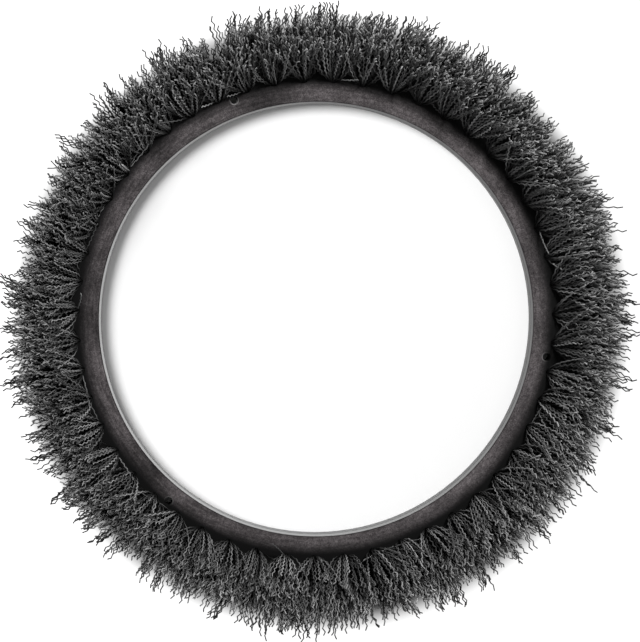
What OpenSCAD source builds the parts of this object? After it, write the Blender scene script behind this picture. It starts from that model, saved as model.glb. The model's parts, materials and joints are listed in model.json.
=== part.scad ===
// Ring brush for washing car wheels.
// A flat plastic ring lies on its back with its axis along +Z. Its front face carries three
// rows of crimped filament tufts that lean outwards. Each tuft is folded round a flat metal
// anchor that is driven into the bottom of its slanting hole and bites into the hole's wall.
// The origin is the centre of the bore, on the back face.

/* [Ring] */
// Diameter of the open bore
bore_d = 400; // [380:1:440]
// Thickness of the plate that the ring is turned from
ring_t = 20; // [18:0.5:30]
// Plain plate outside the centres of the outer row of holes
outer_margin = 12; // [9:0.5:20]
// Chamfer on the four turned edges of the ring
edge_chamfer = 2; // [0.5:0.25:4]

/* [Mounting holes] */
// Diameter of a mounting hole, a clearance hole for an M6 bolt
bolt_hole_d = 6.6; // [5.5:0.1:9]
// Radial distance from the bore to the centres of the mounting holes
bolt_inset = 17.5; // [12:0.5:19]
// Chamfer on the front edge of a mounting hole
bolt_chamfer = 1; // [0.25:0.25:1.5]
// Direction of the first mounting hole from +X, in degrees
bolt_angle = -9.2; // [-60:0.1:60]

/* [Tuft holes] */
// Tufts in each of the three rows
tufts_per_row = 51; // [42:3:54]
// Radial distance from the bore to the centres of the inner row
first_row_inset = 24; // [22:0.5:30]
// Radial distance from one row to the next
row_pitch = 12; // [10:0.5:16]
// Diameter of a tuft hole
tuft_hole_d = 8; // [6:0.25:9]
// Depth of a tuft hole along its slanting axis
tuft_hole_depth = 14; // [11:0.5:15]
// Lean of the inner row away from the ring's axis, in degrees
inner_lean = 24; // [10:0.5:32]
// Extra lean of each further row, in degrees
lean_step = 1.5; // [0:0.25:4]

/* [Tufts] */
// Length of a tuft along its axis, from the face to its longest tips
free_length = 64; // [45:1:80]
// Spread of the lengths of the locks in the tufts
length_scatter = 5; // [0:0.5:10]
// Locks of filament that a tuft parts into
locks_per_tuft = 3; // [2:1:3]
// Width of a lock along most of its length
lock_w = 4.4; // [2:0.1:4.8]
// Reach of a tuft's middle lock outwards past its side locks, at the tips
lock_fan = 4; // [0:0.5:5]
// Sideways swing of a lock from the crimp of its filaments
crimp_swing = 1.4; // [0:0.1:2]
// Rise of the packed root above the face, clear of the slanting hole's edge
neck_rise = 1; // [0.5:0.25:4]
// Gap between a packed root and the wall of its hole
root_fit = 0.1; // [0.05:0.05:0.3]

/* [Anchors] */
// Thickness of the flat wire that an anchor is cut from
anchor_t = 0.5; // [0.3:0.05:0.8]
// Height of an anchor along the hole
anchor_h = 3; // [2:0.25:5]
// Bite of each end of an anchor into the wall of the hole
anchor_bite = 0.3; // [0.2:0.05:0.6]
// Thickness of the folded filament under an anchor
fold_t = 1.2; // [0.8:0.1:2.5]
// Gap round an anchor in its groove
anchor_fit = 0.05; // [0.02:0.01:0.1]

/* [Hidden] */
// Finest facet of the round surfaces
$fn = 96;
// Overrun of a cut past the surface that it opens
overrun = 1;
bolt_count = 3;
tufts_per_group = 3;
row_names = ["inner", "middle", "outer"];
row_colours = ["#3c3c3c", "#424242", "#484848"];
rows = [0 : len(row_names) - 1];

bore_r = bore_d / 2;
ring_r = row_radius(len(row_names) - 1) + outer_margin;
bolt_circle_r = bore_r + bolt_inset;
root_r = tuft_hole_d / 2 - root_fit;
groove_w = tuft_hole_d + 2 * anchor_bite;
groove_t = anchor_t + 2 * anchor_fit;
groups_per_row = ceil(tufts_per_row / tufts_per_group);

// A lock is a triangle carried along the tuft, from its root to a straight cut edge.
lock_sides = 3;
lock_rings = 3;
lock_root_w = 0.75 * 2 * root_r / locks_per_tuft;
lock_tip_w = 0.8 * lock_w;
lock_sink = 1;

function row_radius(row) = bore_r + first_row_inset + row * row_pitch;
function row_lean(row) = inner_lean + row * lean_step;

// Inner tufts stand half a pitch to each side of a mounting hole, and the rows are staggered.
function tuft_angle(row, tuft) = bolt_angle + (tuft + (row % 2 == 0 ? 0.5 : 1)) * 360 / tufts_per_row;

// Height along a tuft's axis at which its packed root clears the slanting mouth of the hole
function neck_top(row) = root_r * tan(row_lean(row)) + neck_rise;

// Even spacing of all the tips of a row round the circle that they reach
function tip_spacing(row) =
    2 * PI * (row_radius(row) + free_length * sin(row_lean(row))) / (tufts_per_row * locks_per_tuft);

// A repeatable scatter from 0 to 1 for each lock, from the fractional part of golden ratio steps
function scatter(row, tuft, lock) =
    let (step = (lock + locks_per_tuft * (tuft + tufts_per_row * row)) * 0.618034) step - floor(step);

// Sideways place of a lock across its tuft, in steps from the middle
function lock_place(lock) = lock - (locks_per_tuft - 1) / 2;

// One triangular ring of a lock, turned so that a corner points outwards
function lock_ring(centre, width) = [
    for (side = [0 : lock_sides - 1])
        let (turn = side * 360 / lock_sides, r = width / sqrt(3))
            centre + [r * cos(turn), r * sin(turn), 0]
];

// Corners of a lock: its rings from the root up, then the two ends of its cut edge
function lock_points(row, tuft, lock) =
    let (
        top = free_length - length_scatter * scatter(row, tuft, lock),
        foot = neck_top(row) - lock_sink,
        swing = crimp_swing * (tuft % 2 == 0 ? 1 : -1),
        root_y = lock_place(lock) * 2 * root_r / locks_per_tuft,
        tip_y = lock_place(lock) * tip_spacing(row),
        tip_x = lock_fan * (0.5 - abs(lock_place(lock)))
    )
    concat(
        [
            for (ring = [0 : lock_rings - 1], point =
                let (
                    along = ring / lock_rings,
                    side_swing = ring == 0 ? 0 : (ring % 2 == 0 ? -swing : swing),
                    y = root_y + (tip_y - root_y) * along + side_swing,
                    z = foot + (top - foot) * along
                )
                lock_ring([tip_x * along, y, z], ring == 0 ? lock_root_w : lock_w)
            ) point
        ],
        [for (end = [1, -1]) [tip_x, tip_y + end * lock_tip_w / 2, top]]
    );

// Faces of a lock: the root's cap, two triangles for each side of each step, and the cut edge
lock_faces = let (
    last = (lock_rings - 1) * lock_sides,
    tip = lock_rings * lock_sides
) concat(
    [[0, 1, 2]],
    [
        for (ring = [0 : lock_rings - 2], side = [0 : lock_sides - 1], half = [0, 1])
            let (
                a = ring * lock_sides + side,
                b = ring * lock_sides + (side + 1) % lock_sides
            )
            half == 0 ? [a, a + lock_sides, b + lock_sides] : [a, b + lock_sides, b]
    ],
    [
        [last, tip, last + 1],
        [last + 1, tip, tip + 1],
        [last + 1, tip + 1, last + 2],
        [last + 2, tip + 1, last],
        [last, tip + 1, tip]
    ]
);

function two_digits(number) = str(number < 10 ? "0" : "", number);
function anchor_node(row) = str(row_names[row], "_anchors");
function tuft_node(row, group) = str(row_names[row], "_tufts_", two_digits(group));

// Places children in a tuft's own frame: z up its slanting axis from the face, x outwards
module at_tuft(row, tuft) {
    rotate([0, 0, tuft_angle(row, tuft)])
        translate([row_radius(row), 0, ring_t])
            rotate([0, row_lean(row), 0])
                children();
}

// A block across the tuft's axis, standing on the fold of filament at the bottom of the hole
module across_hole(thickness, width, height) {
    translate([-thickness / 2, -width / 2, fold_t - tuft_hole_depth])
        cube([thickness, width, height]);
}

// A drilled hole with the two grooves that its anchor cuts on the way in
module tuft_hole(row, tuft) {
    mouth = neck_top(row) + overrun;
    at_tuft(row, tuft) {
        translate([0, 0, -tuft_hole_depth])
            cylinder(d = tuft_hole_d, h = tuft_hole_depth + mouth);
        across_hole(groove_t, groove_w, tuft_hole_depth - fold_t + mouth);
    }
}

// A clearance hole through the plate, with its front edge broken
module bolt_hole(turn) {
    rotate([0, 0, turn])
        translate([bolt_circle_r, 0, 0])
            rotate_extrude()
                polygon([
                    [0, -overrun],
                    [bolt_hole_d / 2, -overrun],
                    [bolt_hole_d / 2, ring_t - bolt_chamfer],
                    [bolt_hole_d / 2 + bolt_chamfer + overrun, ring_t + overrun],
                    [0, ring_t + overrun]
                ]);
}

module ring_section() {
    polygon([
        [bore_r, edge_chamfer],
        [bore_r + edge_chamfer, 0],
        [ring_r - edge_chamfer, 0],
        [ring_r, edge_chamfer],
        [ring_r, ring_t - edge_chamfer],
        [ring_r - edge_chamfer, ring_t],
        [bore_r + edge_chamfer, ring_t],
        [bore_r, ring_t - edge_chamfer]
    ]);
}

module ring_body() {
    color("#4b4949")
        difference() {
            rotate_extrude()
                ring_section();
            for (bolt = [0 : bolt_count - 1])
                bolt_hole(bolt_angle + bolt * 360 / bolt_count);
            for (row = rows, tuft = [0 : tufts_per_row - 1])
                tuft_hole(row, tuft);
        }
}

// Flat anchors of one row, each standing on the fold of its tuft
module row_anchors(row) {
    color("silver")
        for (tuft = [0 : tufts_per_row - 1])
            at_tuft(row, tuft)
                translate([0, 0, anchor_fit])
                    across_hole(anchor_t, groove_w - 2 * anchor_fit, anchor_h);
}

// The packed root of a tuft, slit for its anchor
module tuft_root(row) {
    difference() {
        translate([0, 0, -tuft_hole_depth])
            cylinder(r = root_r, h = tuft_hole_depth + neck_top(row));
        across_hole(groove_t, groove_w, anchor_h + 2 * anchor_fit);
    }
}

module lock(row, tuft, lock) {
    polyhedron(points = lock_points(row, tuft, lock), faces = lock_faces);
}

module tuft(row, tuft) {
    at_tuft(row, tuft)
        union() {
            tuft_root(row);
            for (lock = [0 : locks_per_tuft - 1])
                lock(row, tuft, lock);
        }
}

// Neighbouring tufts of one row, as separate solids
module tuft_group(row, group) {
    first = (group - 1) * tufts_per_group;
    last = min(first + tufts_per_group, tufts_per_row) - 1;
    color(row_colours[row])
        for (tuft = [first : last])
            tuft(row, tuft);
}

ring_body();
for (row = rows) {
    row_anchors(row);
    for (group = [1 : groups_per_row])
        tuft_group(row, group);
}
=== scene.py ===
"""Looks of a ring brush for washing car wheels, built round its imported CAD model.

A flat ring turned from black polypropylene plate lies on its back. Three staggered rows of tufts stand in
its face, and each tuft is a bundle of crimped filaments that leans outwards and fans out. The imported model
gives the ring and the anchors. This script makes every filament and the finish of every surface.
"""

import json
import logging
import math
from dataclasses import dataclass
from enum import Enum

import bpy
import numpy as np
from mathutils import Matrix, Vector


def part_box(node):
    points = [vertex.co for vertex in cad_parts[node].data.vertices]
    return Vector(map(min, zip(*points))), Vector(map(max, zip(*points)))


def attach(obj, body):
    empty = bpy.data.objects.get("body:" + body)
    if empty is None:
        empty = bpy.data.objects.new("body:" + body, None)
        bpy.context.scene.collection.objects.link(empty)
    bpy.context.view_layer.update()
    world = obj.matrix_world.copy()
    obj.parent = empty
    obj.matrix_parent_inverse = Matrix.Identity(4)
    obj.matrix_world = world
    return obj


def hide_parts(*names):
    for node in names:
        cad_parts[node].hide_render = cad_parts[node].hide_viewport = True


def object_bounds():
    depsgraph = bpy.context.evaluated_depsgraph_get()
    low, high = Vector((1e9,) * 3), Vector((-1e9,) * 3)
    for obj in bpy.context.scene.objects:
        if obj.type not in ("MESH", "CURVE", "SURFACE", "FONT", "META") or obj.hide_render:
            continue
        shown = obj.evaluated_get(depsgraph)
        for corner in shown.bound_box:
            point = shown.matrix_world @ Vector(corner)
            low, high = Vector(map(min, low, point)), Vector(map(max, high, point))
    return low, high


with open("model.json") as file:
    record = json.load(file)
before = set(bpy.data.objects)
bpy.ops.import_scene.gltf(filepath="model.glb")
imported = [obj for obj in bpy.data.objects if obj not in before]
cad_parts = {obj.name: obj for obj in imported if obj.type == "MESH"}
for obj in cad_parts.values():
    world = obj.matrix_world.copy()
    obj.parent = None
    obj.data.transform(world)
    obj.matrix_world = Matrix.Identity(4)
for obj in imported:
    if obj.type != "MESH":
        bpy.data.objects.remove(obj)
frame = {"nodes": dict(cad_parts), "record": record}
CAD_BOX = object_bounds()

LOG = logging.getLogger("ring_brush")

MM = 0.001
BODY = "root"
GOLDEN_ANGLE = math.pi * (3.0 - math.sqrt(5.0))
# Nearly all values of a noise texture lie in this span.
NOISE_SPAN = (0.3, 0.7)
# A wave texture of scale 1 runs through this many radians to the metre.
WAVE_RATE = 20.0
# Mean width of a triangle whose corners lie on a circle of radius 1
TRIANGLE_WIDTH = 1.65
# The map that carries a filament's surface: u runs along it, and each filament has its own strip of v.
FILAMENT_MAP = "OFBake"
TINT = "filament_tint"
# A filament's painted light and wear at each point; where it is low, the filament is painted as in shade
LIGHT_AND_WEAR = "filament_light_and_wear"

Pair = tuple[float, float]
Triple = tuple[float, float, float]
Array = np.ndarray
Random = np.random.Generator
Socket = bpy.types.NodeSocket


class Row(Enum):
    """The three rows of tufts, counted outwards from the bore."""

    INNER = 0
    MIDDLE = 1
    OUTER = 2

    @property
    def word(self) -> str:
        """The row's name in the names of nodes and pieces."""
        return self.name.lower()


def linear(hex_colour: str) -> tuple[float, float, float, float]:
    """Turns an sRGB hex colour into linear light.

    Args:
        hex_colour: six hex digits, such as "4d4a4b".

    Returns:
        Red, green, blue and an alpha of 1.
    """
    channels = [int(hex_colour[i:i + 2], 16) / 255.0 for i in (0, 2, 4)]
    curve = [c / 12.92 if c <= 0.04045 else ((c + 0.055) / 1.055) ** 2.4 for c in channels]
    return (curve[0], curve[1], curve[2], 1.0)


@dataclass(frozen=True)
class Nodes:
    """A node tree, with short ways to add the nodes that the finishes need most."""

    tree: bpy.types.NodeTree

    def add(self, kind: str, inputs: dict | None = None, **settings) -> bpy.types.Node:
        """Adds one shader node with its settings and links.

        Args:
            kind: Blender's name of the node type.
            inputs: socket name or number to a value, or to another node's output socket.
            settings: the node's own properties.

        Returns:
            The new node.
        """
        node = self.tree.nodes.new(kind)
        for name, value in settings.items():
            setattr(node, name, value)
        for socket, value in (inputs or {}).items():
            if isinstance(value, Socket):
                self.tree.links.new(value, node.inputs[socket])
            else:
                node.inputs[socket].default_value = value
        return node

    def ranged(self, value: Socket, span: Pair, becomes: Pair = (0.0, 1.0), **settings) -> Socket:
        """Adds a node that carries a span of values to the span that it becomes."""
        ends = {"From Min": span[0], "From Max": span[1], "To Min": becomes[0], "To Max": becomes[1]}
        return self.add("ShaderNodeMapRange", {"Value": value, **ends}, **settings).outputs[0]

    def mixed(self, share, first, second) -> Socket:
        """Adds a node that mixes a share of the second colour into the first."""
        return self.add("ShaderNodeMix", {0: share, 6: first, 7: second}, data_type="RGBA").outputs[2]

    def mixed_value(self, share, first, second) -> Socket:
        """Adds a node that mixes a share of the second number into the first."""
        return self.add("ShaderNodeMix", {0: share, 2: first, 3: second}, data_type="FLOAT").outputs[0]

    def maths(self, operation: str, *values) -> Socket:
        """Adds a node that does one operation on numbers."""
        return self.add("ShaderNodeMath", dict(enumerate(values)), operation=operation).outputs[0]

    def measured(self, operation: str, *vectors) -> Socket:
        """Adds a node that gets one number from vectors: a length, a distance or a dot product."""
        node = self.add("ShaderNodeVectorMath", dict(enumerate(vectors)), operation=operation)
        return node.outputs["Value"]

    def scaled(self, vector: Socket, share) -> Socket:
        """Adds a node that multiplies a vector or a colour by a number."""
        return self.add("ShaderNodeVectorMath", {0: vector, "Scale": share}, operation="SCALE").outputs[0]

    def noise(self, place: Socket, scale: float, detail: float, roughness: float = 0.5) -> Socket:
        """Adds a noise texture, with finer layers by its detail and their strength by its roughness."""
        layers = {"Scale": scale, "Detail": detail, "Roughness": roughness}
        return self.add("ShaderNodeTexNoise", {"Vector": place, **layers}).outputs[0]

    def shown_to_eye(self) -> Socket:
        """Adds nodes that give 1 to camera, glossy and transmission rays and 0 to the rest."""
        path = self.add("ShaderNodeLightPath").outputs
        mirror = self.maths("MAXIMUM", path["Is Glossy Ray"], path["Is Transmission Ray"])
        return self.maths("MAXIMUM", path["Is Camera Ray"], mirror)

    def surface(self, inputs: dict) -> None:
        """Adds a principled shader with these inputs as the surface of the material."""
        shader = self.add("ShaderNodeBsdfPrincipled", inputs)
        self.add("ShaderNodeOutputMaterial", {0: shader.outputs[0]})


def new_material(name: str) -> tuple[bpy.types.Material, Nodes]:
    """Makes an empty node material.

    Args:
        name: the material's name.

    Returns:
        The material and its cleared nodes.
    """
    material = bpy.data.materials.new(name)
    material.use_nodes = True
    material.node_tree.nodes.clear()
    return material, Nodes(material.node_tree)


def smooth_step(values: Array, low: float, high: float) -> Array:
    """Rises smoothly from 0 at low to 1 at high."""
    share = np.clip((values - low) / (high - low), 0.0, 1.0)
    return share * share * (3.0 - 2.0 * share)


def per_metre(size_mm: float) -> float:
    """Texture scale, in repeats to the metre, of a pattern whose grain is size_mm."""
    return 1.0 / (size_mm * MM)


@dataclass(frozen=True)
class RingSpot:
    """Sockets that say where a shaded point of the ring lies."""

    nodes: Nodes
    ring: "RingPlate"
    # The point itself, the point laid on the back face, its distance from the axis and its height
    place: Socket
    flat: Socket
    radius: Socket
    height: Socket

    @classmethod
    def on(cls, ring: "RingPlate", nodes: Nodes) -> "RingSpot":
        """Adds the nodes that measure a point.

        Args:
            ring: the ring.
            nodes: the nodes of its material.

        Returns:
            The sockets.
        """
        place = nodes.add("ShaderNodeTexCoord").outputs["Object"]
        axes = nodes.add("ShaderNodeSeparateXYZ", {0: place}).outputs
        flat = nodes.add("ShaderNodeCombineXYZ", {0: axes[0], 1: axes[1]}).outputs[0]
        return cls(nodes, ring, place, flat, nodes.measured("LENGTH", flat), axes[2])

    def within(self, centre: Triple, reach: float, blur: float) -> Socket:
        """Adds nodes that give 1 within reach of a centre and 0 past the blur."""
        away = self.nodes.measured("DISTANCE", self.flat, centre)
        return self.nodes.ranged(away, (reach, reach + blur), (1.0, 0.0))


@dataclass(frozen=True)
class TurnedPolypropylene:
    """Black polypropylene plate: a rolled, scuffed face, and edges turned on a lathe.

    The face is a matt dark grey with a faint warm cast, a fine mottle, broad patches of wear and scuffs that
    run round the ring. It is painted paler towards one side as painted light, and painted black as shade round
    the tufts' feet and in the bolt holes. The turned edges are paler and glossier, because the tool leaves
    fine bright rings. Their chamfers are painted paler still as a highlight, and one side's edges as painted
    light.
    """

    face: str = "433f40"
    face_dark: str = "272425"
    face_pale: str = "625e5f"
    # Black, painted as shade round the tufts' feet and inside the bolt holes, and for the dark line by the
    # chamfer
    painted_black: str = "030303"
    turned: str = "6c6c6c"
    turned_dark: str = "585858"
    # Chamfers and rim: turned finish, painted paler still as a highlight on the edge
    chamfer_highlight: str = "949494"
    drilled: str = "8a8888"
    # Where the face's dark, middle and pale tones stand in the mottle, and the grain's share of the mottle
    tone_stops: Triple = (0.34, 0.5, 0.68)
    grain_share: float = 0.6
    mottle_mm: float = 3.2
    grain_mm: float = 0.9
    # Size of a patch of wear, and the tones of the darkest and the palest
    patch_mm: float = 45.0
    patch_tones: Pair = (0.56, 1.44)
    # Length round the ring and width across it of a scuff, and the tones of the darkest and the palest
    scuff_mm: Pair = (20.0, 2.4)
    scuff_tones: Pair = (0.68, 1.34)
    # Towards the side whose face is painted paler, and the side whose edges are, as painted light, in gain
    # of tone for each metre
    lit_face_side: Triple = (1.1, -0.27, 0.0)
    lit_edge_side: Triple = (-1.08, -0.19, 0.0)
    # Tone of the edges half way between the two sides
    edge_tone: float = 0.94
    # Middle of the band painted black as shade round the tufts' feet, a little off centre, and how far from
    # the bore that painted shade starts and is full
    tuft_shade_centre: Triple = (-0.8 * MM, 1.5 * MM, 0.0)
    tuft_shade: Pair = (7.5 * MM, 21.5 * MM)
    # Half the width of the dark line drawn beside the bore's chamfer, and how dark it is
    line_half: float = 0.5 * MM
    line_depth: float = 0.5
    # Half the width over which one finish passes into the next
    blur: float = 0.15 * MM
    # A lathe's feed of about 0.2 mm is too fine to show, so its rings are drawn 2.4 mm apart.
    feed_mm: float = 2.4
    ior: float = 1.49
    gloss: float = 0.08
    # Roughness of the face where its mottle is darkest and palest, and of the turned edges
    face_roughness: Pair = (0.70, 0.52)
    turned_roughness: float = 0.36
    # Strength and depth of the relief of the mottle and of the lathe's rings
    relief: float = 0.35
    relief_depth: float = 0.15 * MM

    def material(self, ring: "RingPlate") -> bpy.types.Material:
        """Builds the plate's material.

        Args:
            ring: the ring, whose radii say which surfaces were turned or drilled.

        Returns:
            The material.
        """
        material, nodes = new_material("polypropylene_plate_turned")
        spot = RingSpot.on(ring, nodes)
        coarse = nodes.noise(spot.place, per_metre(self.mottle_mm), 3.0, 0.65)
        fine = nodes.noise(spot.place, per_metre(self.grain_mm), 2.0, 0.6)
        mottle = nodes.mixed_value(self.grain_share, coarse, fine)
        rings = nodes.add("ShaderNodeTexWave", {
            "Vector": spot.place, "Scale": math.tau * per_metre(self.feed_mm) / WAVE_RATE,
            "Distortion": 0.6, "Detail": 1.0}, wave_type="BANDS", bands_direction="Z").outputs[1]
        turned = self.turned_share(spot)
        face = self.paint_shade_on_face(spot, self.open_face(spot, mottle))
        face_rough = nodes.ranged(mottle, NOISE_SPAN, self.face_roughness)
        bump = nodes.add("ShaderNodeBump", {
            "Strength": self.relief, "Distance": self.relief_depth,
            "Height": nodes.mixed_value(turned, mottle, rings)})
        nodes.surface({
            "Base Color": nodes.mixed(turned, face, self.edges(spot, rings)),
            "Roughness": nodes.mixed_value(turned, face_rough, self.turned_roughness),
            "IOR": self.ior, "Specular IOR Level": self.gloss, "Normal": bump.outputs[0]})
        return material

    def turned_share(self, spot: RingSpot) -> Socket:
        """Adds nodes that give 1 on the turned edges and 0 on the face.

        Args:
            spot: where the shaded point lies.

        Returns:
            The socket with the share.
        """
        bore_edge = spot.ring.bore_r + spot.ring.chamfer
        rim_edge = spot.ring.rim_r - spot.ring.chamfer
        in_bore = spot.nodes.ranged(spot.radius, (bore_edge - self.blur, bore_edge + self.blur), (1.0, 0.0))
        on_rim = spot.nodes.ranged(spot.radius, (rim_edge - self.blur, rim_edge + self.blur))
        return spot.nodes.maths("MAXIMUM", in_bore, on_rim)

    def open_face(self, spot: RingSpot, mottle: Socket) -> Socket:
        """Adds the colour of the face where nothing shelters it.

        Args:
            spot: where the shaded point lies.
            mottle: the face's mottle.

        Returns:
            The socket with the colour.
        """
        nodes, ring = spot.nodes, spot.ring
        face = nodes.add("ShaderNodeValToRGB", {0: mottle})
        dark, middle, pale = self.tone_stops
        ends = face.color_ramp.elements
        ends[0].position = dark
        ends[0].color = linear(self.face_dark)
        ends[1].position = pale
        ends[1].color = linear(self.face_pale)
        ends.new(middle).color = linear(self.face)
        # Wear is uneven, so broad patches of the face are paler or darker.
        broad = nodes.noise(spot.place, per_metre(self.patch_mm), 1.0)
        patches = nodes.ranged(broad, NOISE_SPAN, self.patch_tones)
        # Scuffs run round the ring, so their noise is stretched along the turn and has no seam.
        length_mm, width_mm = self.scuff_mm
        turn = nodes.add("ShaderNodeVectorMath", {0: spot.flat}, operation="NORMALIZE").outputs[0]
        along = nodes.scaled(turn, ring.bore_r * per_metre(length_mm))
        across = nodes.maths("MULTIPLY", spot.radius, per_metre(width_mm))
        lane = nodes.add("ShaderNodeCombineXYZ", {2: across}).outputs[0]
        route = nodes.add("ShaderNodeVectorMath", {0: along, 1: lane}, operation="ADD").outputs[0]
        scuffs = nodes.ranged(nodes.noise(route, 1.0, 2.0, 0.6), NOISE_SPAN, self.scuff_tones)
        # The face is painted paler towards one side, as painted light.
        lit_face = nodes.measured("DOT_PRODUCT", spot.flat, self.lit_face_side)
        tone = nodes.maths("ADD", nodes.maths("MULTIPLY", patches, scuffs), lit_face)
        colour = nodes.scaled(face.outputs[0], tone)
        # The chamfers of the bolt holes are paler than the face round them.
        for centre in ring.bolt_centres():
            pared = spot.within(centre, ring.bolt_r + ring.bolt_chamfer, 2.0 * self.blur)
            colour = nodes.mixed(pared, colour, linear(self.drilled))
        return colour

    def paint_shade_on_face(self, spot: RingSpot, colour: Socket) -> Socket:
        """Adds the painted black: shade round the tufts' feet and in the bolt holes, and a fine dark line.

        Args:
            spot: where the shaded point lies.
            colour: the colour of the open face.

        Returns:
            The socket with the colour of the whole face.
        """
        nodes, ring = spot.nodes, spot.ring
        black = linear(self.painted_black)
        # The face round the tufts' feet is painted black, as the shade under the tufts.
        from_shade_centre = nodes.measured("DISTANCE", spot.flat, self.tuft_shade_centre)
        starts, full = self.tuft_shade
        tuft_shade = nodes.ranged(from_shade_centre, (ring.bore_r + starts, ring.bore_r + full),
                               interpolation_type="SMOOTHSTEP")
        front = nodes.maths("GREATER_THAN", spot.height, ring.top / 2.0)
        colour = nodes.mixed(nodes.maths("MULTIPLY", tuft_shade, front), colour, black)
        # A fine dark line is drawn where the face meets the chamfer.
        line_r = ring.bore_r + ring.chamfer + self.line_half
        beside = nodes.maths("COMPARE", spot.radius, line_r, self.line_half)
        colour = nodes.mixed(nodes.maths("MULTIPLY", beside, self.line_depth), colour, black)
        # The bolt holes are painted black, as the shade inside them.
        for centre in ring.bolt_centres():
            colour = nodes.mixed(spot.within(centre, ring.bolt_r, 2.0 * self.blur), colour, black)
        return colour

    def edges(self, spot: RingSpot, rings: Socket) -> Socket:
        """Adds the colour of the turned edges.

        Args:
            spot: where the shaded point lies.
            rings: the lathe's rings.

        Returns:
            The socket with the colour.
        """
        nodes, bore_r = spot.nodes, spot.ring.bore_r
        lathe = nodes.mixed(rings, linear(self.turned_dark), linear(self.turned))
        # The chamfers and the rim are paler than the bore's wall: partly their turned finish, partly a painted
        # highlight.
        outside = nodes.ranged(spot.radius, (bore_r + self.blur, bore_r + 3.0 * self.blur))
        pared = nodes.mixed(outside, lathe, linear(self.chamfer_highlight))
        # The edges of one side are painted paler than those of the other, as painted light.
        lit_edges = nodes.measured("DOT_PRODUCT", spot.flat, self.lit_edge_side)
        return nodes.scaled(pared, nodes.maths("ADD", lit_edges, self.edge_tone))


@dataclass(frozen=True)
class CrimpedFilament:
    """Dark grey polypropylene filament, extruded round and crimped between toothed rolls.

    Each filament is a satin thread with a soft highlight along every wave. Filaments differ in depth of
    colour. They are painted paler where light and wear reach them, and nearly black as painted shade at their
    roots and deep in the tufts.
    """

    dark: str = "0c0c0c"
    pale: str = "c3c3c3"
    # Share of its colour that a filament keeps where it is hidden, as painted shade
    shaded_share: float = 0.02
    mottle_mm: float = 2.0
    mottle_share: float = 0.3
    ior: float = 1.5
    gloss: float = 0.1
    # Roughness at the two ends of the mottle
    roughness: Pair = (0.36, 0.50)

    def material(self) -> bpy.types.Material:
        """Builds the filament's material from each filament's tint and each place's painted light and wear.

        Returns:
            The material.
        """
        material, nodes = new_material("polypropylene_filament_crimped")
        tint = nodes.add("ShaderNodeAttribute", attribute_name=TINT).outputs["Fac"]
        light_and_wear = nodes.add("ShaderNodeAttribute", attribute_name=LIGHT_AND_WEAR).outputs["Fac"]
        place = nodes.add("ShaderNodeTexCoord").outputs["Object"]
        mottle = nodes.noise(place, per_metre(self.mottle_mm), 1.0)
        depth = nodes.mixed_value(self.mottle_share, tint, mottle)
        body = nodes.mixed(depth, linear(self.dark), linear(self.pale))
        # Painted light and wear pass 1 on the side whose tufts are painted paler, so they aren't clamped.
        lit_and_worn = nodes.ranged(light_and_wear, (0.0, 1.0), (self.shaded_share, 1.0), clamp=False)
        nodes.surface({
            "Base Color": nodes.scaled(body, lit_and_worn),
            "Roughness": nodes.ranged(mottle, NOISE_SPAN, self.roughness),
            "IOR": self.ior, "Specular IOR Level": self.gloss})
        return material


@dataclass(frozen=True)
class DrawnSteelWire:
    """Flat steel wire, drawn through a die, which leaves a grey sheen with faint streaks."""

    bright: str = "b4b4b6"
    dull: str = "8e8e90"
    streak_mm: float = 0.4
    # Roughness at the two ends of the streaks
    roughness: Pair = (0.26, 0.46)

    def material(self) -> bpy.types.Material:
        """Builds the wire's material from fine noise.

        Returns:
            The material.
        """
        material, nodes = new_material("steel_wire_drawn_flat")
        place = nodes.add("ShaderNodeTexCoord").outputs["Object"]
        streaks = nodes.noise(place, per_metre(self.streak_mm), 2.0)
        nodes.surface({
            "Base Color": nodes.mixed(streaks, linear(self.dull), linear(self.bright)), "Metallic": 1.0,
            "Roughness": nodes.ranged(streaks, (0.0, 1.0), self.roughness)})
        return material


@dataclass
class RingPlate:
    """The drilled ring and the anchors in its holes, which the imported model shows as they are."""

    bore_r: float
    rim_r: float
    top: float
    bolt_r: float
    bolt_circle_r: float
    bolt_count: int
    chamfer: float = 2.0 * MM
    bolt_chamfer: float = 1.0 * MM
    # Direction of the first bolt hole, in degrees
    first_bolt: float = -9.2

    @classmethod
    def from_frame(cls) -> "RingPlate":
        """Takes the ring's sizes from the record's mounts and from the ring's own box.

        Returns:
            The ring.
        """
        mounts = {mount["name"]: mount["dims"] for mount in frame["record"]["mounts"]}
        bolts = mounts["bolt_circle"]
        low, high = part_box("ring_body")
        return cls(bore_r=mounts["bore"]["r_mm"] * MM, rim_r=(high[0] - low[0]) / 2.0, top=high[2],
                   bolt_r=bolts["hole_r_mm"] * MM, bolt_circle_r=bolts["pcd_mm"] * MM / 2.0,
                   bolt_count=bolts["count"])

    def bolt_centres(self) -> list[Triple]:
        """Centres of the mounting holes, on the plane of the back face."""
        turns = [math.radians(self.first_bolt + 360.0 * i / self.bolt_count) for i in range(self.bolt_count)]
        return [(self.bolt_circle_r * math.cos(t), self.bolt_circle_r * math.sin(t), 0.0) for t in turns]

    def dress(self, plate: TurnedPolypropylene, wire: DrawnSteelWire) -> None:
        """Gives the ring and the anchors their finishes.

        Args:
            plate: the ring's finish.
            wire: the anchors' finish.
        """
        finishes = {"ring_body": plate.material(self)}
        steel = wire.material()
        finishes.update({f"{row.word}_anchors": steel for row in Row})
        for node, material in finishes.items():
            mesh = frame["nodes"][node].data
            mesh.materials.clear()
            mesh.materials.append(material)
            LOG.info("%s wears %s", node, material.name)


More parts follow.
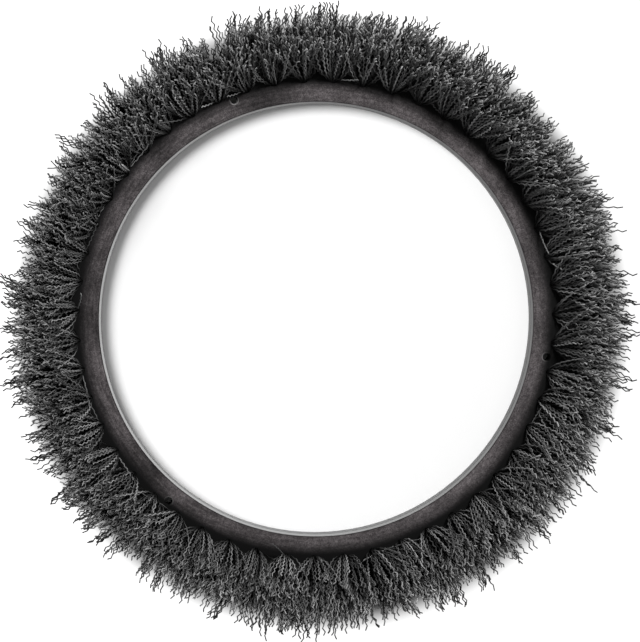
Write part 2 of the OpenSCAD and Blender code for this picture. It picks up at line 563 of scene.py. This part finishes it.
@dataclass
class Filament:
    """One crimped filament: its gauge, its wave and its lie."""

    gauge: float = 1.08 * MM
    sides: int = 3
    length: float = 57.0 * MM
    length_scatter: float = 4.2 * MM
    # How much the longest filaments of the outer row pass that scatter
    length_tail: float = 0.3
    wave: float = 8.0 * MM
    # Stations in one wave. Two of them stand on the crests, which is all that a zigzag needs.
    wave_steps: int = 2
    swing: float = 0.84 * MM
    # Least and most swing of one filament, and the swing at the face and at the tip, as shares of the usual
    swing_span: Pair = (0.75, 1.15)
    swing_along: Pair = (0.62, 1.12)
    # Length over which the crimp grows as a filament leaves its hole, and the share of it inside the hole
    crimp_in: float = 6.4 * MM
    crimp_least: float = 0.12
    # Length over which a tuft springs apart as it leaves its hole
    spring_in: float = 6.0 * MM
    # Depth of the filament's foot below the face, inside the hole
    sink: float = 4.0 * MM
    # Gentle bends of a filament at its tip: the usual chance one, the outward sag that all share, and the
    # trail round the ring from turning
    curl: float = 1.75 * MM
    sag: float = 3.5 * MM
    trail: float = -3.3 * MM

    @property
    def steps(self) -> int:
        """Number of straight lengths along a filament."""
        return round((self.length + self.sink) / self.wave * self.wave_steps)

    @property
    def corner_radius(self) -> float:
        """Radius of the corners of a three-sided section whose mean width is the filament's gauge."""
        return self.gauge / TRIANGLE_WIDTH


@dataclass(frozen=True)
class Stray:
    """A filament that stands out of the innermost row: where it is, and its lean out of its tuft."""

    # Direction round the ring, lean inwards over the face, and lean sideways round the ring, all in degrees
    at: float
    inwards: float
    sideways: float
    # Its length and its swing as shares of a filament's, because most strays are broken or drawn straight
    share: float = 0.4
    crimp: float = 0.75


STRAYS = (
    Stray(25.0, 30.0, -38.0), Stray(56.0, 26.0, 45.0), Stray(83.0, 26.0, -45.0),
    Stray(107.0, 34.0, 55.0, 0.26), Stray(114.0, 30.0, 50.0, 0.3), Stray(140.0, 26.0, -58.0),
    Stray(153.0, 20.0, 62.0), Stray(166.0, 30.0, -45.0), Stray(180.0, 40.0, -30.0),
    Stray(190.0, 24.0, 60.0), Stray(207.0, 26.0, -55.0), Stray(215.0, 24.0, 55.0),
    Stray(263.0, 44.0, -28.0), Stray(283.0, 24.0, 60.0, 0.5), Stray(290.0, 24.0, -60.0),
    Stray(330.0, 26.0, 48.0))


# How far the tufts splay outwards beyond their holes' lean, in degrees, every 30 degrees round the ring
SPLAY = (6.0, 1.0, 3.5, 4.5, 0.5, -4.5, 1.5, 2.5, -2.0, 1.0, 1.5, -0.5)
# How far a tuft springs apart inwards and outwards, in millimetres, in the same directions
BULGE = (0.5, -1.5, -1.5, -0.5, 0.5, -1.5, 0.0, 0.8, 1.5, 4.5, 4.5, 3.5)


def at_direction(values: tuple[float, ...], angle: float) -> float:
    """Value at a direction round the ring, in radians, between values that stand evenly round it."""
    places = np.arange(len(values)) * 360.0 / len(values)
    return float(np.interp(math.degrees(angle), places, values, period=360.0))


def packed_disc(count: int, first: float) -> Array:
    """Packs a unit disc evenly: each point is a golden angle on from the last, and farther from the middle.

    Args:
        count: number of points.
        first: direction of the first point, in radians.

    Returns:
        Points by 2.
    """
    index = np.arange(count)
    reach = np.sqrt((index + 0.5) / count)
    turn = first + index * GOLDEN_ANGLE
    return np.stack([reach * np.cos(turn), reach * np.sin(turn)], axis=1)


@dataclass
class TuftRow:
    """One row of tufts, each a bundle of crimped filaments set in a slanting hole of the ring.

    A value with three numbers has one for each row, from the innermost.
    """

    row: Row
    ring: RingPlate
    filament: Filament
    tufts: int = 51
    tufts_in_group: int = 3
    filaments_in_tuft: tuple[int, int, int] = (54, 54, 56)
    # The first row's distance from the bore, the step from row to row, and the holes' lean in degrees
    first_inset: float = 24.0 * MM
    row_pitch: float = 12.0 * MM
    inner_lean: float = 24.0
    lean_step: float = 1.5
    bundle_r: float = 3.7 * MM
    # Filaments that nest in one lock, the share of their lie that they have in common, the share of their
    # depth in the hole, and the turn of the locks from the filaments' feet in radians
    filaments_in_lock: Triple = (3.0, 3.0, 5.0)
    lock_hold: Triple = (0.1, 0.1, 0.68)
    depth_hold: float = 0.9
    lock_turn: float = 1.0
    # How far a tuft springs apart at once, sideways round the ring, and by what share that differs
    side_spring: Triple = (7.5 * MM, 9.5 * MM, 9.5 * MM)
    spring_scatter: float = 0.3
    # Fan and scatter of a tuft beyond that, in degrees: sideways, then inwards and outwards
    side_fan: Triple = (20.0, 14.0, 11.0)
    side_scatter: Triple = (6.0, 6.5, 6.5)
    radial_fan: float = 5.0
    radial_scatter: float = 5.5
    # Scatter of whole tufts, in degrees: inwards or outwards, and sideways
    tuft_scatter: Pair = (3.0, 6.0)
    # Scatter of the plane of the crimp, in radians: of a lock, and of one filament in it
    plane_scatter: Pair = (0.5, 0.35)
    # Lean that all tufts share round the ring, in degrees, which the trail of their tips undoes
    side_lean: float = 3.0
    # Scatter beyond this many times its usual size is cut back to it
    scatter_cut: float = 1.9
    # Share of filaments that have sprung out of their tuft, how far they may lean from it in degrees,
    # inwards or outwards and sideways, and their length as a share of the usual
    sprung_share: float = 0.025
    sprung_lean: Pair = (10.56, 26.4)
    sprung_length: float = 0.85
    # Painted light and wear of the tips, and of the filaments that are bare along their length, as shares of
    # the most
    tip_light_and_wear: Triple = (0.61, 0.71, 1.04)
    side_light_and_wear: float = 0.76
    # Where painted light and wear start and are full along a filament, as shares of its length: at a tip, on
    # the tuft's bare inner side, and on what has sprung out
    lit_worn_tip: Pair = (0.48, 0.92)
    lit_worn_bare: Pair = (0.02, 0.4)
    lit_worn_sprung: Pair = (0.0, 0.2)
    # How far in from the tuft's middle filaments start to be bare, and so painted lit, and wholly are, as
    # shares of its radius
    bare_side: Pair = (0.067, 0.733)
    # Share of the painted light and wear that the outermost tips lose, and how far past the rim that
    # starts and is full
    fringe_fade: float = 0.88
    fringe_fade_span: Pair = (14.0 * MM, 28.0 * MM)
    # Towards the side whose tufts are painted paler as painted light, in gain for each metre
    lit_tuft_side: Pair = (0.31, 0.35)
    # Above 1, so that there are more dark filaments than pale ones
    tint_power: float = 1.35
    seed: int = 20

    @property
    def radius(self) -> float:
        """Radius of the row's holes at the ring's face."""
        return self.ring.bore_r + self.first_inset + self.row.value * self.row_pitch

    @property
    def lean(self) -> float:
        """Lean of the row away from the ring's axis, in radians."""
        return math.radians(self.inner_lean + self.row.value * self.lean_step)

    @property
    def groups(self) -> int:
        """Number of nodes that the row's tufts are shared among."""
        return self.tufts // self.tufts_in_group

    def angles(self, group: int) -> Array:
        """Directions of one group's tufts round the ring.

        Args:
            group: the group's number, from 1.

        Returns:
            One angle for each tuft, in radians.
        """
        tuft = (group - 1) * self.tufts_in_group + np.arange(self.tufts_in_group)
        stagger = 0.5 if self.row.value % 2 == 0 else 1.0
        return np.radians(self.ring.first_bolt + (tuft + stagger) * 360.0 / self.tufts)

    def chance(self, rng: Random, shape: int | tuple[int, int]) -> Array:
        """Normal scatter of the given shape, with its far ends cut back."""
        return np.clip(rng.normal(0.0, 1.0, shape), -self.scatter_cut, self.scatter_cut)

    def lock_chance(self, rng: Random, lock: Array) -> Array:
        """Scatter in two directions, part of which the filaments of a lock share.

        Args:
            rng: the source of scatter.
            lock: the number of each filament's lock.

        Returns:
            Filaments by 2, of the same usual size as plain chance.
        """
        hold = self.lock_hold[self.row.value]
        shared = self.chance(rng, (lock.max() + 1, 2))[lock]
        own = self.chance(rng, (len(lock), 2))
        return (hold * shared + (1.0 - hold) * own) / math.hypot(hold, 1.0 - hold)

    def strays(self, angle: float) -> list[Stray]:
        """Finds the strays that belong to one tuft, none of them outside the innermost row."""
        reach = 180.0 / self.tufts if self.row is Row.INNER else 0.0
        return [s for s in STRAYS if abs((s.at - math.degrees(angle) + 180.0) % 360.0 - 180.0) < reach]

    def fan(self, rng: Random, angle: float, lain: Array,
            lock: Array) -> tuple[Array, Array]:
        """Directions of one tuft's filaments, and which of them have sprung out of it.

        Args:
            rng: the source of scatter.
            angle: the tuft's direction round the ring, in radians.
            lain: each filament's place in the bundle, drawn towards its lock's.
            lock: the number of each filament's lock.

        Returns:
            Filaments by 2, leans outwards and sideways in degrees, and filaments by 1, true where sprung.
        """
        spread = np.array([self.radial_fan, self.side_fan[self.row.value]])
        scatter = np.array([self.radial_scatter, self.side_scatter[self.row.value]])
        lie = lain * spread + self.lock_chance(rng, lock) * scatter
        lie += self.chance(rng, 2) * np.array(self.tuft_scatter)
        lie += at_direction(SPLAY, angle), self.side_lean
        sprung = rng.uniform(0.0, 1.0, (len(lock), 1)) < self.sprung_share
        lie += sprung * rng.uniform(-1.0, 1.0, (len(lock), 2)) * np.array(self.sprung_lean)
        return lie, sprung

    def lengths(self, rng: Random, sprung: Array) -> Array:
        """Free lengths of one tuft's filaments.

        Args:
            rng: the source of scatter.
            sprung: filaments by 1, true where sprung.

        Returns:
            One length for each filament, in metres.
        """
        spec = self.filament
        scatter = self.chance(rng, len(sprung))
        if self.row is Row.OUTER:
            scatter += spec.length_tail * np.maximum(scatter, 0.0) ** 2
        usual = spec.length + scatter * spec.length_scatter
        return usual * np.where(sprung[:, 0], self.sprung_length, 1.0)

    def lit_and_worn(self, foot: Array, share: Array, sprung: Array) -> Array:
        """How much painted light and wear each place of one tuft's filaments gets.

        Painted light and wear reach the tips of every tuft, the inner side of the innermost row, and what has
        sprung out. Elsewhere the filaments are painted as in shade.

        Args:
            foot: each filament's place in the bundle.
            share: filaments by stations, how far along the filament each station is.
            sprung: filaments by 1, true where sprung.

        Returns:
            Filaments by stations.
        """
        bare = np.interp(-foot[:, :1], self.bare_side, (0.0, 1.0)) * (self.row is Row.INNER)
        tip = self.tip_light_and_wear[self.row.value] * smooth_step(share, *self.lit_worn_tip)
        lit_worn = np.maximum(tip, self.side_light_and_wear * bare * smooth_step(share, *self.lit_worn_bare))
        return np.maximum(lit_worn, self.side_light_and_wear * sprung * smooth_step(share, *self.lit_worn_sprung))

    def paths(self, rng: Random, angle: float) -> tuple[Array, Array]:
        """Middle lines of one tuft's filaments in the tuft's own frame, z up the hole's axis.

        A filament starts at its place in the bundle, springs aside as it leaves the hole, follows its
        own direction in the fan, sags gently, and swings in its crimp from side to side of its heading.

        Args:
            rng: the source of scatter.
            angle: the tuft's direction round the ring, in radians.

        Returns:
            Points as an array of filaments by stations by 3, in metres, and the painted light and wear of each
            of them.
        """
        spec = self.filament
        count = self.filaments_in_tuft[self.row.value]
        first = rng.uniform(0.0, 2.0 * np.pi)
        foot = packed_disc(count, first)
        # Neighbours nest in locks, whose waves are in step.
        locks = max(1, round(count / self.filaments_in_lock[self.row.value]))
        hubs = packed_disc(locks, first + self.lock_turn)
        lock = np.argmin(((foot[:, None] - hubs) ** 2).sum(axis=2), axis=1)
        hold = self.lock_hold[self.row.value]
        lain = hold * hubs[lock] + (1.0 - hold) * foot
        lie, sprung = self.fan(rng, angle, lain, lock)
        length = self.lengths(rng, sprung)
        calm = np.ones(count)
        for i, stray in enumerate(self.strays(angle)):
            lie[i] = -stray.inwards, stray.sideways
            length[i] *= stray.share
            sprung[i] = True
            calm[i] = stray.crimp
        slope = np.tan(np.radians(lie))
        spring = lain * np.array([at_direction(BULGE, angle) * MM, self.side_spring[self.row.value]])
        spring *= rng.uniform(1.0 - self.spring_scatter, 1.0 + self.spring_scatter)
        curl = self.lock_chance(rng, lock) * spec.curl + np.array([spec.sag, spec.trail])
        of_lock, of_one = self.plane_scatter
        heading = np.arctan2(slope[:, 1], math.tan(self.lean) + slope[:, 0])
        plane = heading + math.pi / 2.0 + of_lock * self.chance(rng, locks)[lock]
        plane += of_one * self.chance(rng, count)
        start = rng.integers(0, spec.wave_steps, locks)[lock]
        swing = spec.swing * calm * rng.uniform(*spec.swing_span, count)
        # Locks stand at chance depths, so that neighbours' waves are out of step.
        deeper = self.depth_hold * rng.uniform(0.0, 1.0, locks)[lock]
        deeper += (1.0 - self.depth_hold) * rng.uniform(0.0, 1.0, count)
        sink = spec.sink + deeper * spec.wave / spec.wave_steps
        station = np.arange(spec.steps + 1)
        run = -sink[:, None] + station / spec.steps * (length + sink)[:, None]
        free = np.maximum(run, 0.0)
        burst = 1.0 - np.exp(-free / spec.spring_in)
        share = free / length[:, None]
        at_face, at_tip = spec.swing_along
        grow = np.clip(free / spec.crimp_in, spec.crimp_least, 1.0) * (at_face + (at_tip - at_face) * share)
        phase = 2.0 * np.pi * (station + start[:, None]) / spec.wave_steps
        crimp = swing[:, None] * grow * np.cos(phase)
        across = (self.bundle_r * foot[:, None, :] + spring[:, None, :] * burst[:, :, None]
                  + slope[:, None, :] * free[:, :, None] + curl[:, None, :] * (share ** 2)[:, :, None])
        across[:, :, 0] += crimp * np.cos(plane)[:, None]
        across[:, :, 1] += crimp * np.sin(plane)[:, None]
        stretch = np.sqrt(1.0 + (slope ** 2).sum(axis=1))[:, None]
        rise = np.minimum(run, 0.0) + free / stretch
        return np.concatenate([across, rise[:, :, None]], axis=2), self.lit_and_worn(foot, share, sprung)

    def place(self, points: Array, angle: float) -> Array:
        """Carries points from a tuft's own frame to the ring's frame.

        Args:
            points: an array whose last axis is x outwards, y round the ring, z up the hole.
            angle: the tuft's direction round the ring, in radians.

        Returns:
            The points in the ring's frame.
        """
        x, y, z = np.moveaxis(points, -1, 0)
        out = self.radius + x * math.cos(self.lean) + z * math.sin(self.lean)
        up = self.ring.top - x * math.sin(self.lean) + z * math.cos(self.lean)
        return np.stack([out * math.cos(angle) - y * math.sin(angle),
                         out * math.sin(angle) + y * math.cos(angle), up], axis=-1)

    def build(self, group: int, material: bpy.types.Material) -> bpy.types.Object:
        """Makes one group's filaments as a piece that stands for the group's node.

        Args:
            group: the group's number, from 1.
            material: the filaments' material.

        Returns:
            The new piece.
        """
        rng = np.random.default_rng([self.seed, self.row.value, group])
        angles = self.angles(group)
        tufts = [self.paths(rng, angle) for angle in angles]
        lines = np.concatenate([self.place(points, angle) for (points, _), angle in zip(tufts, angles)])
        light_and_wear = np.concatenate([share for _, share in tufts])
        # The outermost tips lose most of their painted light and wear, so they stay dark.
        reach = np.hypot(lines[..., 0], lines[..., 1]) - self.ring.rim_r
        light_and_wear *= 1.0 - self.fringe_fade * smooth_step(reach, *self.fringe_fade_span)
        # Tufts are painted paler towards one side, as painted light.
        light_and_wear *= 1.0 + lines[..., :2] @ np.array(self.lit_tuft_side)
        tint = rng.uniform(0.0, 1.0, len(lines)) ** self.tint_power
        name = f"{self.row.word}_filaments_{group:02d}"
        piece = tube_mesh(name, lines, self.filament, tint, light_and_wear)
        piece.data.materials.append(material)
        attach(piece, BODY)
        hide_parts(f"{self.row.word}_tufts_{group:02d}")
        return piece


def tube_mesh(name: str, lines: Array, spec: Filament, tint: Array,
              light_and_wear: Array) -> bpy.types.Object:
    """Carries a filament's section along every line and makes one closed mesh of the tubes.

    The section's corners stand round each station at equal angles, in the plane square to the line. Two
    triangles close each tube's ends.

    Args:
        name: the piece's name.
        lines: filaments by stations by 3, in metres.
        spec: the filament's sizes.
        tint: depth of colour of each filament, from 0 to 1.
        light_and_wear: painted light and wear of each station of each filament, from 0 to a little over 1.

    Returns:
        The new object, linked to the scene.
    """
    count, stations, _ = lines.shape
    sides = spec.sides
    ahead = np.gradient(lines, axis=1)
    ahead /= np.linalg.norm(ahead, axis=2, keepdims=True)
    guide = np.cross(lines[:, -1] - lines[:, 0], [0.0, 0.0, 1.0])
    guide /= np.linalg.norm(guide, axis=1, keepdims=True)
    first = np.cross(ahead, guide[:, None, :])
    first /= np.linalg.norm(first, axis=2, keepdims=True)
    second = np.cross(ahead, first)
    turn = 2.0 * np.pi * (np.arange(sides) / sides + tint[:, None])
    section = (first[:, :, None, :] * np.cos(turn)[:, None, :, None]
               + second[:, :, None, :] * np.sin(turn)[:, None, :, None])
    corners = lines[:, :, None, :] + spec.corner_radius * section
    number = np.arange(count * stations * sides).reshape(count, stations, sides)
    beside = np.roll(number, -1, axis=2)
    walls = np.stack([number[:, :-1], beside[:, :-1], beside[:, 1:], number[:, 1:]], axis=-1).reshape(-1, 4)
    ends = np.concatenate([number[:, 0, ::-1], number[:, -1, :]]).reshape(-1, sides)
    mesh = bpy.data.meshes.new(name)
    mesh.vertices.add(corners.size // 3)
    mesh.vertices.foreach_set("co", corners.ravel())
    mesh.loops.add(walls.size + ends.size)
    mesh.loops.foreach_set("vertex_index", np.concatenate([walls.ravel(), ends.ravel()]).astype(np.int32))
    mesh.polygons.add(len(walls) + len(ends))
    starts = np.concatenate([np.arange(len(walls)) * 4, walls.size + np.arange(len(ends)) * sides])
    mesh.polygons.foreach_set("loop_start", starts.astype(np.int32))
    smooth = np.concatenate([np.ones(len(walls), bool), np.zeros(len(ends), bool)])
    mesh.polygons.foreach_set("use_smooth", smooth)
    mesh.update(calc_edges=True)
    map_filaments(mesh, count, stations, sides)
    write_points(mesh, TINT, np.repeat(tint, stations * sides))
    write_points(mesh, LIGHT_AND_WEAR, np.repeat(light_and_wear.ravel(), sides))
    piece = bpy.data.objects.new(name, mesh)
    bpy.context.scene.collection.objects.link(piece)
    return piece


def map_filaments(mesh: bpy.types.Mesh, count: int, stations: int, sides: int) -> None:
    """Unrolls each filament into its own strip of the map, u along it and v round it.

    Args:
        mesh: the mesh of tubes.
        count: number of filaments.
        stations: stations along a filament.
        sides: corners of a filament's section.
    """
    strip, step, side = np.indices((count, stations - 1, sides))
    along = np.stack([step, step, step + 1, step + 1], axis=-1) / (stations - 1)
    round_it = np.stack([side, side + 1, side + 1, side], axis=-1) / (sides + 1)
    walls = np.stack([along, (strip[..., None] + round_it) / count], axis=-1).reshape(-1, 2)
    corner = np.arange(sides) / sides
    closing = np.stack([corner / (stations - 1), np.zeros(sides)], axis=-1)
    low = np.tile(closing, (count, 1))
    low[:, 1] = np.repeat((np.arange(count) + sides / (sides + 1)) / count, sides)
    high = low.copy()
    high[:, 0] = 1.0 - high[:, 0]
    uv = np.concatenate([walls, low, high]).astype(np.float32)
    mesh.uv_layers.new(name=FILAMENT_MAP).uv.foreach_set("vector", uv.ravel())


def write_points(mesh: bpy.types.Mesh, name: str, values: Array) -> None:
    """Writes one number for each vertex as an attribute."""
    layer = mesh.attributes.new(name, "FLOAT", "POINT")
    layer.data.foreach_set("value", values.astype(np.float32))


def sky_direction(azimuth: float, height: float) -> Vector:
    """Unit vector towards a place in the sky, azimuth from +X towards +Y and height, both in degrees."""
    a, h = math.radians(azimuth), math.radians(height)
    return Vector((math.cos(a) * math.cos(h), math.sin(a) * math.cos(h), math.sin(h)))


@dataclass(frozen=True)
class Lamp:
    """A round softbox that lights either the floor alone or everything but the floor.

    The brush is lit from the upper right, but the shadow in its bore lies at the upper left, so the brush
    and the paper have a lamp each.
    """

    name: str
    power: float
    size: float
    far: float
    azimuth: float
    height: float
    on_floor: bool

    def hang(self, floor: bpy.types.Object) -> None:
        """Hangs the lamp and links its light.

        Args:
            floor: the floor.
        """
        light = bpy.data.lights.new(self.name, "AREA")
        light.shape = "DISK"
        light.size = self.size
        light.energy = self.power
        lamp = bpy.data.objects.new(self.name, light)
        towards = sky_direction(self.azimuth, self.height)
        lamp.location = towards * self.far
        lamp.rotation_mode = "QUATERNION"
        lamp.rotation_quaternion = (-towards).to_track_quat("-Z", "Y")
        bpy.context.scene.collection.objects.link(lamp)
        lit = bpy.data.collections.new(f"{self.name}_lit")
        lit.objects.link(floor)
        lit.collection_objects[0].light_linking.link_state = "INCLUDE" if self.on_floor else "EXCLUDE"
        lamp.light_linking.receiver_collection = lit


@dataclass
class Studio:
    """A white floor under soft light, and a camera nearly square above the ring."""

    ring: RingPlate
    frame_px: tuple[int, int] = (640, 642)
    # Real size of one pixel at the ring's face, and where the bore's middle sits in the picture
    pixel: float = 0.929 * MM
    bore_px: Pair = (316.85, 319.8)
    camera_far: float = 3.0
    # The camera's lean from straight above, and its direction, in degrees
    tilt: float = 4.3
    tilt_towards: float = 140.0
    sensor_mm: float = 36.0
    # The sky's light overhead and near the horizon, and the heights, as sines, between which it grows
    ceiling: float = 0.37
    horizon: float = 0.12
    light_span: Pair = (0.1, 0.9)
    # Heights between which the white backdrop that the eye sees gives way to the ceiling
    backdrop_span: Pair = (0.5, 0.7)
    lamps: tuple[Lamp, ...] = (
        Lamp("key_softbox", power=188.0, size=0.8, far=4.0, azimuth=60.0, height=58.0, on_floor=False),
        Lamp("floor_softbox", power=270.0, size=2.7, far=5.0, azimuth=150.0, height=57.0, on_floor=True))
    floor_half: float = 6.0
    floor_colour: str = "f4f4f4"
    floor_shaded: str = "808080"
    # The paper's lift to white inside the bore, and the width over which it stops at the bore
    lift_inside: float = 0.02
    lift_edge: float = 2.0 * MM
    # How far past the rim the lift starts and is full outside, and how far the tips' ring is seen shifted
    lift_span: Pair = (9.0 * MM, 34.0 * MM)
    tips_shift: float = 7.0 * MM
    # How far from the bore the paper starts to turn grey, as painted shade
    grey_from: float = 10.0 * MM

    def build(self) -> None:
        """Sets up the world, the floor, the lamps and the camera."""
        bpy.context.scene.view_settings.view_transform = "Standard"
        self.make_world()
        floor = self.make_floor()
        for lamp in self.lamps:
            lamp.hang(floor)
        self.make_camera()

    def make_world(self) -> None:
        """Makes a sky that grows paler overhead, lights the ring softly and looks white behind it."""
        world = bpy.data.worlds.new("studio_sky")
        bpy.context.scene.world = world
        world.use_nodes = True
        world.node_tree.nodes.clear()
        nodes = Nodes(world.node_tree)
        way = nodes.add("ShaderNodeTexCoord").outputs["Generated"]
        height = nodes.add("ShaderNodeSeparateXYZ", {0: way}).outputs["Z"]
        light = nodes.ranged(height, self.light_span, (self.horizon, self.ceiling))
        backdrop = nodes.ranged(height, self.backdrop_span, (1.0, self.ceiling))
        strength = nodes.mixed_value(nodes.shown_to_eye(), light, backdrop)
        sky = nodes.add("ShaderNodeBackground", {"Color": (1.0, 1.0, 1.0, 1.0), "Strength": strength})
        nodes.add("ShaderNodeOutputWorld", {0: sky.outputs[0]})

    def make_floor(self) -> bpy.types.Object:
        """Makes a wide white floor under the ring, which keeps the ring's shadow.

        Returns:
            The floor.
        """
        half = self.floor_half
        low = CAD_BOX[0][2]
        corners = [(-half, -half, low), (half, -half, low), (half, half, low), (-half, half, low)]
        mesh = bpy.data.meshes.new("floor")
        mesh.from_pydata(corners, [], [(0, 1, 2, 3)])
        floor = bpy.data.objects.new("floor", mesh)
        bpy.context.scene.collection.objects.link(floor)
        mesh.materials.append(self.paper())
        return floor

    def paper(self) -> bpy.types.Material:
        """Builds the floor's white paper.

        The open paper is lifted to white. Past the tips it is greyer and its lift larger, which washes out the
        long soft shadow and leaves a short one all round. The grey paper round the brush is painted shade.

        Returns:
            The material.
        """
        material, nodes = new_material("white_paper_floor")
        bore_r, rim_r = self.ring.bore_r, self.ring.rim_r
        place = nodes.add("ShaderNodeTexCoord").outputs["Object"]
        far = nodes.measured("LENGTH", place)
        inside = nodes.ranged(far, (bore_r - self.lift_edge, bore_r), (self.lift_inside, 0.0))
        tips = sky_direction(self.tilt_towards + 180.0, 0.0) * self.tips_shift
        past = nodes.measured("DISTANCE", place, tips)
        starts, full = self.lift_span
        outside = nodes.ranged(past, (rim_r + starts, rim_r + full), interpolation_type="SMOOTHSTEP")
        beyond = nodes.ranged(far, (bore_r + self.grey_from, rim_r))
        tone = nodes.mixed(beyond, linear(self.floor_colour), linear(self.floor_shaded))
        white = nodes.add("ShaderNodeBsdfDiffuse", {"Color": tone})
        open_paper = nodes.maths("ADD", inside, outside)
        lift = nodes.maths("MULTIPLY", nodes.shown_to_eye(), open_paper)
        glow = nodes.add("ShaderNodeEmission", {"Strength": lift})
        total = nodes.add("ShaderNodeAddShader", {0: white.outputs[0], 1: glow.outputs[0]})
        nodes.add("ShaderNodeOutputMaterial", {0: total.outputs[0]})
        return material

    def make_camera(self) -> None:
        """Places the camera so that the bore has its place and size in the 640 by 642 picture."""
        wide, high = self.frame_px
        aim = Vector(((wide / 2.0 - self.bore_px[0]) * self.pixel,
                      (self.bore_px[1] - high / 2.0) * self.pixel, self.ring.top))
        towards = sky_direction(self.tilt_towards, 90.0 - self.tilt)
        data = bpy.data.cameras.new("camera")
        data.sensor_width = self.sensor_mm
        data.lens = self.sensor_mm * self.camera_far / (max(wide, high) * self.pixel)
        camera = bpy.data.objects.new("camera", data)
        camera.location = aim + towards * self.camera_far
        right = Vector((1.0, 0.0, 0.0))
        up = towards.cross(right).normalized()
        side = up.cross(towards).normalized()
        camera.rotation_mode = "QUATERNION"
        camera.rotation_quaternion = Matrix((side, up, towards)).transposed().to_quaternion()
        bpy.context.scene.collection.objects.link(camera)
        bpy.context.scene.camera = camera


def main() -> None:
    """Builds the studio, the ring and its three rows of filaments, and reports each piece."""
    logging.basicConfig(level=logging.INFO, format="%(name)s: %(message)s")
    ring = RingPlate.from_frame()
    Studio(ring).build()
    ring.dress(TurnedPolypropylene(), DrawnSteelWire())
    satin = CrimpedFilament().material()
    for row in Row:
        tufts = TuftRow(row, ring, Filament())
        for group in range(1, tufts.groups + 1):
            piece = tufts.build(group, satin)
            LOG.info("%s: %d faces", piece.name, len(piece.data.polygons))


if __name__ == "__main__":
    main()
